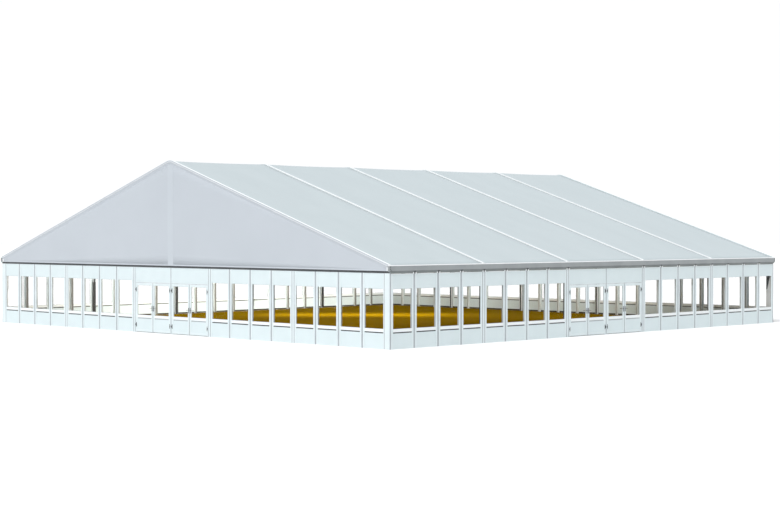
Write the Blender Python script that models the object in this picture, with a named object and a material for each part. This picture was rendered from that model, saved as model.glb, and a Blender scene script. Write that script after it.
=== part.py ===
"""Ice rink tent: clear-span aluminium portal frames under a PVC roof, with glazed walls and two entrances.

Metres, +Z up. The origin is on the ground in the middle of the floor. X runs across the span and Y along
the ridge. The front gable faces -Y, and the long side with the second entrance faces +X.
"""

import math

import bmesh
import bpy
from mathutils import Matrix, Vector

# Bays and main heights
BAY = 5.0
BAYS = 5
PANEL = BAY / 4
HALF_LENGTH = BAY * BAYS / 2
CORNER = 0.17
HALF_WIDTH = HALF_LENGTH + CORNER
EAVE = 3.0
PITCH = math.radians(18.0)
RIDGE = EAVE + HALF_WIDTH * math.tan(PITCH)
RIDGE_ROUND = 0.7
RIDGE_STEPS = 6

# Small gaps between pieces that touch
GAP = 0.001

# Wall panels
SKIN = 0.06
SIDE_TOP = 2.69
GABLE_TOP = 2.75
SILL = 0.72
HEAD = 2.155
STILE = 0.12
POST_STILE = 0.165
POST_HALF = 0.06
CORNER_POST = 0.30
PANE = 0.006
PANE_LAP = 0.03

# Portal frames
COLUMN_OUT = HALF_WIDTH - SKIN - 0.01
COLUMN_IN = COLUMN_OUT - 0.07
END_COLUMN_IN = COLUMN_OUT - 0.23
FRAME_THICK = 0.12
RAFTER_DEPTH = 0.25
END_FRAME_Y = HALF_LENGTH - FRAME_THICK / 2
KNEE_LOW = 1.72
KNEE_STEP = 0.05
KNEE_REACH = 0.9
KNEE_THICK = 0.07
END_KNEE_IN = 0.033
END_KNEE_THICK = 0.042
FUSE_IN = 0.05
FOOT_PLATE = 0.014
FOOT_HALF = 0.14
FOOT_INSET = 0.004

# Roof
COVER = 0.02
FRAME_DROP = COVER + GAP
RAIL_HALF = 0.04
RAIL_PROUD = 0.022
RAIL_ROOT = 0.03
VERGE = 0.05
EAVE_LAP = 0.02
PURLIN_SIZE = 0.08
PURLIN_UNDER = 0.05
PURLINS = {"ridge_purlin": 0.0, "right_purlin": 6.3, "left_purlin": -6.3}

# Gable
HEM = 2.82
FABRIC = 0.02
BEAM_TOP = 2.90
BEAM_INSET = 0.012
UPRIGHT_OUT = HALF_LENGTH - SKIN - 0.02
UPRIGHT_DEEP = 0.06
UPRIGHT_WIDE = 0.12

# Eave fascia
FASCIA_LOW = 2.70
FASCIA_IN = HALF_WIDTH - SKIN + 0.002
FASCIA_OUT = HALF_WIDTH + 0.05
FASCIA_LIP = HALF_WIDTH + 0.005
FASCIA_BEND = 2.80
FASCIA_CUT = 0.11
FASCIA_OVER = 0.06

# Floor
FLOOR = 0.03
FLOOR_EDGE = 0.02
NOTCH_GAP = 0.006

# Doors
DOOR_HALF = BAY / 2 - POST_HALF
JAMB = 0.06
MID_HALF = 0.05
DOOR_HEAD = 2.064
THRESHOLD = 0.014
LEAF_EDGE = 0.006
LEAF_MEET = 0.010
LEAF_LOW = 0.024
LEAF_THICK = 0.045
LEAF_STILE = 0.10
LEAF_RAIL_LOW = 0.60
LEAF_RAIL_HIGH = 0.72
LEAF_TOP_RAIL = 0.10
LEAF_PANEL = 0.024
LEAF_GLASS = 0.010
HINGE_OUT = 0.014
HINGE_RADIUS = 0.009
HINGE_PLATE = 0.048
HINGE_HALF = 0.075
HINGE_LEVELS = (0.31, 1.78)
HANDLE_LEVEL = 1.02


def clear_scene():
    for thing in list(bpy.data.objects):
        bpy.data.objects.remove(thing, do_unlink=True)


def material(name, colour, roughness, metallic=0.0, alpha=1.0):
    made = bpy.data.materials.get(name)
    if made:
        return made
    made = bpy.data.materials.new(name)
    made.use_nodes = True
    shader = made.node_tree.nodes["Principled BSDF"]
    shader.inputs["Base Color"].default_value = (*colour, 1.0)
    shader.inputs["Roughness"].default_value = roughness
    shader.inputs["Metallic"].default_value = metallic
    shader.inputs["Alpha"].default_value = alpha
    return made


def frame_aluminium():
    return material("frame_aluminium", (0.80, 0.82, 0.84), 0.40, 0.6)


def fascia_aluminium():
    return material("fascia_aluminium", (0.34, 0.37, 0.38), 0.45, 0.7)


def wall_panel():
    return material("wall_panel", (0.86, 0.91, 0.93), 0.45)


def roof_fabric():
    return material("roof_fabric", (0.68, 0.74, 0.78), 0.55)


def window_glass():
    return material("window_glass", (0.85, 0.92, 0.92), 0.05, 0.0, 0.25)


def floor_boards():
    return material("floor_boards", (0.36, 0.19, 0.02), 0.25)


def roof_z(x):
    """Height of the roof's slope at a distance from the ridge, with the round ridge left aside."""
    return RIDGE - abs(x) * math.tan(PITCH)


def roof_line(end, depth):
    """The roof's cross-section from the right end to the left, at a depth under the covers' upper face."""
    radius = RIDGE_ROUND - depth
    centre = RIDGE - RIDGE_ROUND / math.cos(PITCH)
    turns = [PITCH * (1 - 2 * i / RIDGE_STEPS) for i in range(RIDGE_STEPS + 1)]
    arc = [(radius * math.sin(turn), centre + radius * math.cos(turn)) for turn in turns]
    low = roof_z(end) - depth / math.cos(PITCH)
    return [(end, low)] + arc + [(-end, low)]


def add_object(name, mesh_builder, finish):
    """A named object from a bmesh, with coplanar faces merged and normals outward."""
    bmesh.ops.dissolve_limit(
        mesh_builder, angle_limit=math.radians(0.5), verts=mesh_builder.verts, edges=mesh_builder.edges
    )
    bmesh.ops.recalc_face_normals(mesh_builder, faces=mesh_builder.faces)
    mesh = bpy.data.meshes.new(name)
    mesh_builder.to_mesh(mesh)
    mesh_builder.free()
    mesh.materials.append(finish)
    thing = bpy.data.objects.new(name, mesh)
    bpy.context.collection.objects.link(thing)
    return thing


def add_block(builder, low, high):
    """A box between two corners, added to a bmesh."""
    size = Vector(high) - Vector(low)
    middle = (Vector(high) + Vector(low)) / 2
    bmesh.ops.create_cube(builder, size=1.0, matrix=Matrix.Translation(middle) @ Matrix.Diagonal((*size, 1.0)))


def block(name, low, high, finish):
    builder = bmesh.new()
    add_block(builder, low, high)
    return add_object(name, builder, finish)


def add_prism(builder, outline, start, end, place):
    """An outline of (a, b) points carried from start to end; place(a, b, c) gives each point in space."""
    near = [builder.verts.new(place(a, b, start)) for a, b in outline]
    far = [builder.verts.new(place(a, b, end)) for a, b in outline]
    builder.faces.new(near)
    builder.faces.new(list(reversed(far)))
    for i in range(len(outline)):
        j = (i + 1) % len(outline)
        builder.faces.new((near[j], near[i], far[i], far[j]))


def across(a, b, c):
    """Outline in the XZ plane, carried along Y."""
    return (a, c, b)


def along(a, b, c):
    """Outline in the YZ plane, carried along X."""
    return (c, a, b)


def upward(a, b, c):
    """Outline in the XY plane, carried along Z."""
    return (a, b, c)


def prism(name, outline, start, end, place, finish):
    builder = bmesh.new()
    add_prism(builder, outline, start, end, place)
    return add_object(name, builder, finish)


def add_grid_solid(builder, xs, ys, zs, inside):
    """The cells of an uneven grid whose centres are inside, closed by the faces where they meet a gap."""
    cells = (len(xs) - 1, len(ys) - 1, len(zs) - 1)

    def filled(i, j, k):
        if not (0 <= i < cells[0] and 0 <= j < cells[1] and 0 <= k < cells[2]):
            return False
        return inside((xs[i] + xs[i + 1]) / 2, (ys[j] + ys[j + 1]) / 2, (zs[k] + zs[k + 1]) / 2)

    corners = {}

    def corner(i, j, k):
        if (i, j, k) not in corners:
            corners[i, j, k] = builder.verts.new((xs[i], ys[j], zs[k]))
        return corners[i, j, k]

    steps = {
        (1, 0, 0): ((1, 0, 0), (1, 1, 0), (1, 1, 1), (1, 0, 1)),
        (-1, 0, 0): ((0, 0, 0), (0, 0, 1), (0, 1, 1), (0, 1, 0)),
        (0, 1, 0): ((0, 1, 0), (0, 1, 1), (1, 1, 1), (1, 1, 0)),
        (0, -1, 0): ((0, 0, 0), (1, 0, 0), (1, 0, 1), (0, 0, 1)),
        (0, 0, 1): ((0, 0, 1), (1, 0, 1), (1, 1, 1), (0, 1, 1)),
        (0, 0, -1): ((0, 0, 0), (0, 1, 0), (1, 1, 0), (1, 0, 0)),
    }
    for i in range(cells[0]):
        for j in range(cells[1]):
            for k in range(cells[2]):
                if not filled(i, j, k):
                    continue
                for (di, dj, dk), ring in steps.items():
                    if not filled(i + di, j + dj, k + dk):
                        builder.faces.new([corner(i + a, j + b, k + c) for a, b, c in ring])


def turned(builder, angle, offset):
    """Turns a bmesh about Z and moves it, to stand a wall on its side of the tent."""
    matrix = Matrix.Translation(offset) @ Matrix.Rotation(angle, 4, "Z")
    bmesh.ops.transform(builder, matrix=matrix, verts=builder.verts)


# Each wall is drawn facing -Y with its outer face on y = 0, then turned about Z to its side.
SIDES = {
    "front": (0.0, (0.0, -HALF_LENGTH, 0.0), GABLE_TOP, HALF_WIDTH - CORNER_POST),
    "right": (math.pi / 2, (HALF_WIDTH, 0.0, 0.0), SIDE_TOP, HALF_LENGTH),
    "back": (math.pi, (0.0, HALF_LENGTH, 0.0), GABLE_TOP, HALF_WIDTH - CORNER_POST),
    "left": (-math.pi / 2, (-HALF_WIDTH, 0.0, 0.0), SIDE_TOP, HALF_LENGTH),
}


def fuse(target, extra):
    """Joins an extra shape into a piece and hides it."""
    joiner = target.modifiers.new("fuse", "BOOLEAN")
    joiner.operation = "UNION"
    joiner.solver = "EXACT"
    joiner.use_self = True
    joiner.object = extra
    hide(extra)


def cut(target, cutter):
    """Cuts a shape out of a piece."""
    remover = target.modifiers.new("cut", "BOOLEAN")
    remover.operation = "DIFFERENCE"
    remover.solver = "EXACT"
    remover.object = cutter


def hide(helper):
    helper.hide_render = True
    helper.display_type = "WIRE"


# Portal frames

def frame_under(x):
    return roof_z(x) - (FRAME_DROP + RAFTER_DEPTH) / math.cos(PITCH)


def fascia_top():
    """The fascia's upper edge, just under the covers' eave edge."""
    return roof_z(HALF_WIDTH + EAVE_LAP) - FRAME_DROP / math.cos(PITCH)


def frame_outline(column_in):
    """Two columns and two rafters in one bent outline, in the XZ plane."""
    outer = [(COLUMN_OUT, 0.0)] + roof_line(COLUMN_OUT, FRAME_DROP) + [(-COLUMN_OUT, 0.0)]
    under = list(reversed(roof_line(column_in, FRAME_DROP + RAFTER_DEPTH)))
    return outer + [(-column_in, 0.0)] + under + [(column_in, 0.0)]


def rail_outline():
    """The keder rail that stands up between two covers, from eave edge to eave edge over the rafter."""
    eave = HALF_WIDTH + EAVE_LAP
    inner = COLUMN_OUT - 0.01
    low = fascia_top() + GAP
    root = list(reversed(roof_line(inner - 0.3, FRAME_DROP + RAIL_ROOT)))
    return roof_line(eave, -RAIL_PROUD) + [(-eave, low), (-inner, low)] + root + [(inner, low), (eave, low)]


def knee_outline(side, column_in, stepped):
    """The stiffening plate in a frame's corner; a stepped one also runs down the column's inner face."""
    inner = column_in - (KNEE_STEP if stepped else 0.0)
    root = column_in + FUSE_IN / 2
    far = inner - KNEE_REACH
    outline = [(root, HEAD)]
    if stepped:
        outline = [(root, KNEE_LOW), (inner, KNEE_LOW + KNEE_STEP)]
    outline += [(inner, HEAD), (far, frame_under(far) + FUSE_IN), (root, frame_under(root) + FUSE_IN)]
    return [(side * x, z) for x, z in outline]


def portal_frame(number, y):
    end = abs(y) > HALF_LENGTH - BAY / 2
    middle = math.copysign(END_FRAME_Y, y) if end else y
    column_in = END_COLUMN_IN if end else COLUMN_IN
    name = f"portal_frame_{number}"
    start = middle - FRAME_THICK / 2
    frame = prism(name, frame_outline(column_in), start, start + FRAME_THICK, across, frame_aluminium())
    extra = bmesh.new()
    # An end frame's knee plates stay on its inner side, clear of the gable's beam and glass.
    knee_mid = math.copysign(END_FRAME_Y - END_KNEE_IN, y) if end else middle
    knee_half = (END_KNEE_THICK if end else KNEE_THICK) / 2
    for side in (1, -1):
        add_prism(extra, knee_outline(side, column_in, not end), knee_mid - knee_half, knee_mid + knee_half, across)
        inner, outer = sorted((side * (column_in + FOOT_INSET), side * (COLUMN_OUT - FOOT_INSET)))
        foot_low = max(middle - FOOT_HALF, -HALF_LENGTH + FOOT_INSET)
        foot_high = min(middle + FOOT_HALF, HALF_LENGTH - FOOT_INSET)
        add_block(extra, (inner, foot_low, 0.0), (outer, foot_high, FOOT_PLATE))
    if end:
        outside = math.copysign(HALF_LENGTH + VERGE, y)
        inside = math.copysign(HALF_LENGTH - VERGE, y)
        add_prism(extra, rail_outline(), min(outside, inside), max(outside, inside), across)
    else:
        add_prism(extra, rail_outline(), middle - RAIL_HALF, middle + RAIL_HALF, across)
    fuse(frame, add_object(f"{name}_extra", extra, frame_aluminium()))
    return frame


def purlin(name, x):
    """A square tube along the roof, just under the rafters' upper edge, that passes through every rafter."""
    reach = HALF_LENGTH - VERGE - 0.08
    top = roof_z(x) - FRAME_DROP / math.cos(PITCH) - PURLIN_UNDER - PURLIN_SIZE / 2 * math.tan(PITCH)
    half = PURLIN_SIZE / 2
    tube = block(name, (x - half, -reach, top - PURLIN_SIZE), (x + half, reach, top), frame_aluminium())
    slot = block(
        f"{name}_slot",
        (x - half - GAP, -reach - GAP, top - PURLIN_SIZE - GAP),
        (x + half + GAP, reach + GAP, top + GAP),
        frame_aluminium(),
    )
    hide(slot)
    return tube, slot


def structure():
    frames = [portal_frame(i + 1, i * BAY - HALF_LENGTH) for i in range(BAYS + 1)]
    for name, x in PURLINS.items():
        slot = purlin(name, x)[1]
        for frame in frames:
            cut(frame, slot)
    uprights()
    for front in (True, False):
        gable_beam(front)


def uprights():
    """Square posts behind each gable at the bay lines, cut to the slope under the end rafter."""
    half = UPRIGHT_WIDE / 2
    for end, sign in (("front", -1), ("back", 1)):
        low, high = sorted((sign * (UPRIGHT_OUT - UPRIGHT_DEEP), sign * UPRIGHT_OUT))
        for number in range(1, BAYS):
            x = number * BAY - HALF_LENGTH
            tops = [frame_under(x - half) - GAP, frame_under(x + half) - GAP]
            outline = [(x - half, 0.0), (x + half, 0.0), (x + half, tops[1]), (x - half, tops[0])]
            prism(f"{end}_upright_{number}", outline, low, high, across, frame_aluminium())


def gable_beam(front):
    """The beam between the gable wall and the fabric above it; it shows as a dark line."""
    name = "front_gable_beam" if front else "back_gable_beam"
    sign = -1 if front else 1
    low, high = sorted((sign * (HALF_LENGTH - BEAM_INSET), sign * (HALF_LENGTH - SKIN)))
    reach = END_COLUMN_IN - GAP
    bottom = GABLE_TOP + GAP
    slope = math.tan(PITCH)
    shoulder = reach - (BEAM_TOP - frame_under(reach) + GAP) / slope
    outline = [(-reach, bottom), (reach, bottom), (reach, frame_under(reach) - GAP), (shoulder, BEAM_TOP)]
    outline += [(-shoulder, BEAM_TOP), (-reach, frame_under(reach) - GAP)]
    prism(name, outline, low, high, across, fascia_aluminium())


# Roof and gable fabric

def cover_outline():
    """One bay's cover from eave to eave over the ridge."""
    eave = HALF_WIDTH + EAVE_LAP
    return roof_line(eave, 0.0) + list(reversed(roof_line(eave, COVER)))


def roof_covers():
    for number in range(BAYS):
        start = number * BAY - HALF_LENGTH
        end = start + BAY
        low = start + (VERGE if number == 0 else RAIL_HALF) + GAP
        high = end - (VERGE if number == BAYS - 1 else RAIL_HALF) - GAP
        prism(f"roof_cover_{number + 1}", cover_outline(), low, high, across, roof_fabric())


def gable_fabric(front):
    """The triangle of fabric over the gable wall, hung under the verge rail."""
    reach = COLUMN_OUT - 0.05
    outline = [(-reach, HEM), (reach, HEM)] + roof_line(reach, FRAME_DROP + RAIL_ROOT + 0.01)
    sign = -1 if front else 1
    low, high = sorted((sign * (HALF_LENGTH + GAP), sign * (HALF_LENGTH + GAP + FABRIC)))
    prism("front_gable_fabric" if front else "back_gable_fabric", outline, low, high, across, roof_fabric())


def eave_fascia(side):
    """The grey eave profile: upright above, slanting in below, its lower corners cut off at both ends."""
    end = HALF_LENGTH + FASCIA_OVER
    corner = FASCIA_LOW + FASCIA_CUT
    bend_end = end - (corner - FASCIA_BEND)
    low_end = end - FASCIA_CUT
    points = [(FASCIA_IN, end, fascia_top()), (FASCIA_OUT, end, fascia_top())]
    points += [(FASCIA_IN, end, corner), (FASCIA_OUT, end, corner), (FASCIA_OUT, bend_end, FASCIA_BEND)]
    points += [(FASCIA_IN, low_end, FASCIA_LOW), (FASCIA_LIP, low_end, FASCIA_LOW)]
    builder = bmesh.new()
    for x, y, z in points:
        for turn in (1, -1):
            builder.verts.new((side * x, turn * y, z))
    bmesh.ops.convex_hull(builder, input=builder.verts)
    add_object("right_eave_fascia" if side > 0 else "left_eave_fascia", builder, fascia_aluminium())


# Walls

def window_spans(start, end):
    """The left and right edge of each window between two ends of a wall."""
    grid = [i * PANEL - HALF_LENGTH for i in range(BAYS * 4 + 1)]
    spans = []
    for left, right in zip(grid, grid[1:]):
        if left > start - PANEL / 2 and right < end + PANEL / 2:
            spans.append((left + window_edge(left), right - window_edge(right)))
    return spans


def window_edge(line):
    """Half of the solid width at a panel joint: wider where it is a main post."""
    bays = (line + HALF_LENGTH) / BAY
    return POST_STILE if abs(bays - round(bays)) < 0.01 else STILE


def wall_skin(name, side, start, end):
    angle, offset, top, _ = SIDES[side]
    spans = window_spans(start, end)
    xs = [start] + [edge for span in spans for edge in span] + [end]

    def inside(x, y, z):
        glazed = any(left < x < right for left, right in spans)
        return not (glazed and SILL < z < HEAD)

    builder = bmesh.new()
    add_grid_solid(builder, xs, [0.0, SKIN], [0.0, SILL, HEAD, top], inside)
    turned(builder, angle, offset)
    return add_object(name, builder, wall_panel())


def wall_glass(name, side, start, end):
    """One sheet behind a wall's windows."""
    angle, offset, _, _ = SIDES[side]
    spans = window_spans(start, end)
    behind = SKIN + 0.002
    builder = bmesh.new()
    low = (spans[0][0] - PANE_LAP, behind, SILL - PANE_LAP)
    high = (spans[-1][1] + PANE_LAP, behind + PANE, HEAD + PANE_LAP)
    add_block(builder, low, high)
    turned(builder, angle, offset)
    return add_object(name, builder, window_glass())


def walls():
    for side in SIDES:
        reach = SIDES[side][3]
        if side in ("front", "right"):
            # Seen from outside, the first part is on the left of the doors.
            parts = (("_a", -reach, -DOOR_HALF - GAP), ("_b", DOOR_HALF + GAP, reach))
        else:
            parts = (("", -reach, reach),)
        for mark, start, end in parts:
            wall_skin(f"{side}_wall{mark}", side, start, end)
            wall_glass(f"{side}_glass{mark}", side, start, end)


# Doors

def hinge_outline(away):
    """A plate on the face and a knuckle round the axis; away is the side that the plate lies on."""
    points = [(HINGE_PLATE, -0.002), (0.004, -0.002)]
    for step in range(9):
        angle = math.radians(-65 - step * 245 / 8)
        points.append((HINGE_RADIUS * math.cos(angle), HINGE_OUT + HINGE_RADIUS * math.sin(angle)))
    points += [(0.024, 0.006), (HINGE_PLATE, 0.006)]
    return [(away * a, -b) for a, b in points]


def add_hinge_part(builder, axis_x, away, low, high):
    outline = [(axis_x + a, b) for a, b in hinge_outline(away)]
    add_prism(builder, outline, low, high, upward)


def door_frame(side):
    """Jambs, mid post, header and threshold of one entrance, with the fixed halves of its hinges."""
    angle, offset, top, _ = SIDES[side]
    reach = DOOR_HALF
    xs = [-reach, -reach + JAMB, -MID_HALF, MID_HALF, reach - JAMB, reach]

    def inside(x, y, z):
        in_doorway = MID_HALF < abs(x) < reach - JAMB
        return not (in_doorway and THRESHOLD < z < DOOR_HEAD)

    builder = bmesh.new()
    add_grid_solid(builder, xs, [0.0, SKIN], [0.0, THRESHOLD, DOOR_HEAD, top], inside)
    turned(builder, angle, offset)
    frame = add_object(f"{side}_door_frame", builder, wall_panel())
    extra = bmesh.new()
    for axis_x, away in hinge_lines():
        for level in HINGE_LEVELS:
            for low, high in ((-1.0, -0.62), (0.62, 1.0)):
                add_hinge_part(extra, axis_x, -away, level + low * HINGE_HALF, level + high * HINGE_HALF)
    turned(extra, angle, offset)
    fuse(frame, add_object(f"{side}_hinges", extra, wall_panel()))


def hinge_lines():
    """Where the four hinge axes stand along an entrance, and which way each leaf lies from its axis."""
    outer = DOOR_HALF - JAMB - LEAF_EDGE / 2
    inner = MID_HALF + LEAF_EDGE / 2
    return ((-outer, 1), (-inner, -1), (inner, 1), (outer, -1))


def door_leaf(side, number, axis_x, away):
    """A leaf drawn with its hinge axis at the origin, hung from an empty on the axis."""
    angle, offset, _, _ = SIDES[side]
    width = (DOOR_HALF - JAMB - MID_HALF - LEAF_MEET) / 2 - LEAF_EDGE
    near = LEAF_EDGE / 2
    far = near + width
    top = DOOR_HEAD - LEAF_EDGE
    face = HINGE_OUT
    middle = face + LEAF_THICK / 2
    xs = [near, near + LEAF_STILE, far - LEAF_STILE, far]
    ys = [face, middle - LEAF_PANEL / 2, middle - LEAF_GLASS / 2]
    ys += [middle + LEAF_GLASS / 2, middle + LEAF_PANEL / 2, face + LEAF_THICK]
    zs = [LEAF_LOW, LEAF_LOW + LEAF_STILE, LEAF_RAIL_LOW, LEAF_RAIL_HIGH, top - LEAF_TOP_RAIL, top]

    def inside(x, y, z):
        stile = x < near + LEAF_STILE or x > far - LEAF_STILE
        rail = z < LEAF_LOW + LEAF_STILE or LEAF_RAIL_LOW < z < LEAF_RAIL_HIGH or z > top - LEAF_TOP_RAIL
        if stile or rail:
            return True
        depth = LEAF_PANEL if z < LEAF_RAIL_LOW else LEAF_GLASS
        return abs(y - middle) < depth / 2

    builder = bmesh.new()
    add_grid_solid(builder, xs, ys, zs, inside)
    if away < 0:
        bmesh.ops.scale(builder, vec=(-1, 1, 1), verts=builder.verts)
    leaf = add_object(f"{side}_door_leaf_{number}", builder, wall_panel())
    extra = bmesh.new()
    for level in HINGE_LEVELS:
        outline = [(a, b + HINGE_OUT) for a, b in hinge_outline(away)]
        add_prism(extra, outline, level - 0.6 * HINGE_HALF, level + 0.6 * HINGE_HALF, upward)
    add_handle(extra, away, away * (far - LEAF_STILE / 2), face)
    furniture = add_object(f"{leaf.name}_furniture", extra, wall_panel())
    fuse(leaf, furniture)
    axis = bpy.data.objects.new(f"{leaf.name}_axis", None)
    bpy.context.collection.objects.link(axis)
    turn = Matrix.Translation(offset) @ Matrix.Rotation(angle, 4, "Z")
    axis.matrix_world = turn @ Matrix.Translation((axis_x, -HINGE_OUT, 0.0))
    leaf.parent = axis
    furniture.parent = axis


def add_handle(builder, away, x, face):
    """A plate and a lever on each face of the leaf, with the lever pointing to the hinges."""
    tip = x - away * 0.12
    left, right = sorted((x + away * 0.012, tip))
    for out, base in ((-1, face), (1, face + LEAF_THICK)):
        near, far = sorted((base - out * 0.002, base + out * 0.006))
        add_block(builder, (x - 0.022, near, HANDLE_LEVEL - 0.13), (x + 0.022, far, HANDLE_LEVEL + 0.09))
        near, far = sorted((base + out * 0.005, base + out * 0.050))
        add_block(builder, (x - 0.011, near, HANDLE_LEVEL - 0.011), (x + 0.011, far, HANDLE_LEVEL + 0.011))
        near, far = sorted((base + out * 0.034, base + out * 0.048))
        add_block(builder, (left, near, HANDLE_LEVEL - 0.009), (right, far, HANDLE_LEVEL + 0.009))


def doors():
    for side in ("front", "right"):
        door_frame(side)
        for number, (axis_x, away) in enumerate(hinge_lines(), start=1):
            door_leaf(side, number, axis_x, away)


# Floor

def floor():
    """Boards up to the wall skins, notched round every column and upright."""
    edge_x = HALF_WIDTH - SKIN - FLOOR_EDGE
    edge_y = HALF_LENGTH - SKIN - FLOOR_EDGE / 2
    notch = FOOT_HALF + NOTCH_GAP
    frames = {i * BAY - HALF_LENGTH: COLUMN_IN - NOTCH_GAP for i in range(1, BAYS)}
    frames[-END_FRAME_Y] = END_COLUMN_IN - NOTCH_GAP
    frames[END_FRAME_Y] = END_COLUMN_IN - NOTCH_GAP
    upright_in = UPRIGHT_OUT - UPRIGHT_DEEP - NOTCH_GAP
    upright_half = UPRIGHT_WIDE / 2 + NOTCH_GAP
    upright_lines = [i * BAY - HALF_LENGTH for i in range(1, BAYS)]

    def inside(x, y, z):
        at_column = any(abs(x) > inner and abs(y - line) < notch for line, inner in frames.items())
        at_upright = abs(y) > upright_in and any(abs(x - line) < upright_half for line in upright_lines)
        return not (at_column or at_upright)

    xs = {-edge_x, edge_x}
    for inner in frames.values():
        xs |= {-inner, inner}
    for line in upright_lines:
        xs |= {line - upright_half, line + upright_half}
    ys = {-edge_y, -upright_in, upright_in, edge_y}
    for line in frames:
        ys |= {max(line - notch, -edge_y), min(line + notch, edge_y)}
    builder = bmesh.new()
    add_grid_solid(builder, sorted(xs), sorted(ys), [0.0, FLOOR], inside)
    add_object("floor", builder, floor_boards())


def build():
    clear_scene()
    structure()
    roof_covers()
    for front in (True, False):
        gable_fabric(front)
    for side in (1, -1):
        eave_fascia(side)
    walls()
    doors()
    floor()


build()
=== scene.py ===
import math
from collections import namedtuple
from functools import partial
from itertools import product

import bmesh
import bpy
from mathutils import Matrix, Vector


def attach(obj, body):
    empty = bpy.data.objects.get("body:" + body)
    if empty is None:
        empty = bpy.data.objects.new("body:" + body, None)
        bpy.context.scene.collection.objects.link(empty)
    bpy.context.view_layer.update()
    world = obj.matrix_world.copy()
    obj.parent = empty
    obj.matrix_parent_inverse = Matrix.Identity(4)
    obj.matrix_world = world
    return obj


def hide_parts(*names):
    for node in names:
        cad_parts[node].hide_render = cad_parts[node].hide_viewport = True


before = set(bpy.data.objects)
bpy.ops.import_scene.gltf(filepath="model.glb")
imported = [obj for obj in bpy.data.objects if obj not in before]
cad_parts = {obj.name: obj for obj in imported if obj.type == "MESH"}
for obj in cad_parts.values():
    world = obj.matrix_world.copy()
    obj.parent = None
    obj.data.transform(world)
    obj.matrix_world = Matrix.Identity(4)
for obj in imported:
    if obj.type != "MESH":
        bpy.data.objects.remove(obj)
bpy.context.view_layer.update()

# Driving sizes, the same as in the part's source
BAY = 5.0
BAYS = 5
PANELS_IN_BAY = 4
PANELS = BAYS * PANELS_IN_BAY
PANEL = BAY / PANELS_IN_BAY
HALF_LENGTH = BAY * BAYS / 2
INNER_LINES = [i * BAY - HALF_LENGTH for i in range(1, BAYS)]
HALF_WIDTH = HALF_LENGTH + 0.17
EAVE = 3.0
PITCH = math.radians(18.0)
RIDGE = EAVE + HALF_WIDTH * math.tan(PITCH)
RIDGE_ROUND = 0.7
GAP = 0.001
SKIN = 0.06
FLOOR_TOP = 0.03

# Walls: heights, half of the solid width at a mullion and at a main post, and the posts
SIDE_TOP = 2.69
GABLE_TOP = 2.75
SILL = 0.72
HEAD = 2.155
STILE = 0.12
POST_STILE = 0.165
POST_HALF = 0.06
CORNER_POST = 0.30

# Frames, covers, hem and fascia
COLUMN_OUT = HALF_WIDTH - SKIN - 0.01
COLUMN_IN = COLUMN_OUT - 0.07
END_COLUMN_IN = COLUMN_OUT - 0.23
UPRIGHT_IN = HALF_LENGTH - SKIN - 0.08
FRAME_THICK = 0.12
FRAME_DROP = 0.02 + GAP
RAIL_ROOT = 0.03
RAIL_HALF = 0.04
VERGE = 0.05
EAVE_LAP = 0.02
HEM = 2.82
FASCIA_OUT = HALF_WIDTH + 0.05
FASCIA_LIP = HALF_WIDTH + 0.005
FASCIA_LOW = 2.70
FASCIA_BEND = 2.80
FASCIA_OVER = 0.06

# Doors
DOOR_HALF = BAY / 2 - POST_HALF
JAMB = 0.06
MID_HALF = 0.05
DOOR_HEAD = 2.064
THRESHOLD = 0.014
LEAF_EDGE = 0.006
LEAF_MEET = 0.010
LEAF_LOW = 0.024
LEAF_THICK = 0.045
LEAF_STILE = 0.10
HINGE_OUT = 0.014
HINGE_LEVELS = (0.31, 1.78)
HANDLE_LEVEL = 1.02

# Chamfers, from fine to soft
FINE = 0.001
SMALL = 0.002
CHAMFER = 0.003
SOFT = 0.004

# Trim on the panels, drawn only here
FACE_DEPTH = 0.045
RECESS = 0.009
BOTTOM_RAIL = 0.05
TOP_RAIL = 0.05
SILL_LOW = 0.606
SHADOW_LINE = 0.042
SHADOW_RECESS = RECESS + 0.003
FLOOR_SHADE_HIGH = 0.105
FLOOR_SHADE_THICK = 0.009
ABOVE_FLOOR = FLOOR_TOP + 0.002
PANE_THICK = 0.006
WALL_PANE = 0.026
LEAF_PANE = 0.019
SEAL = 0.006
SEAL_LIP = 0.004
MULLION_HALF = 0.035
MULLION_RECESS = 0.003
MULLION_BACK = FACE_DEPTH + 0.010
MULLION_GAP = 0.004
POST_JOINT = 0.018
POST_JOINT_BACK = FACE_DEPTH + 0.008
POST_JOINT_INSET = 0.002
INNER_HALF = 0.06
SHADE_STRIP_BED = 0.002
SHADE_STRIP_PROUD = 0.004
CORNER_PANEL = 0.125
CORNER_JOINT = 0.026
CORNER_EDGE = 0.055
CORNER_PROUD = 0.003
CORNER_BACK = 0.030
CORNER_WRAP = 0.010
CORNER_SIDE = 0.05

# Trim on the doors. Depths run in from the face, and hinge spans from the axis along the leaf
MID_LINE = 0.024
MID_LINE_BACK = SKIN - 0.004
HEAD_SHADOW_TOP = DOOR_HEAD + 0.012
HEAD_SHADOW_RECESS = 0.006
HEAD_BAR_TOP = DOOR_HEAD + 0.055
HEAD_BOARD_BACK = SKIN - 0.01
HINGE_PLATE = (0.005, 0.046)
HINGE_PLATE_DEPTHS = (-0.006, 0.002)
HINGE_WEB = (-0.002, 0.012)
HINGE_WEB_OUT = HINGE_OUT + 0.004
PLATE_HALF = 0.09
KNUCKLE_HALF = 0.045
KNUCKLE_RADIUS = 0.009
FIXED_KNUCKLE = (0.0465, 0.075)
LEAF_LINE_DEPTHS = (0.014, 0.032)
LEAF_BOARD_BACK = 0.036
MEETING_STRIP = 0.014
MEETING_BACK = 0.010
MEETING_INSET = 0.004

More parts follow.
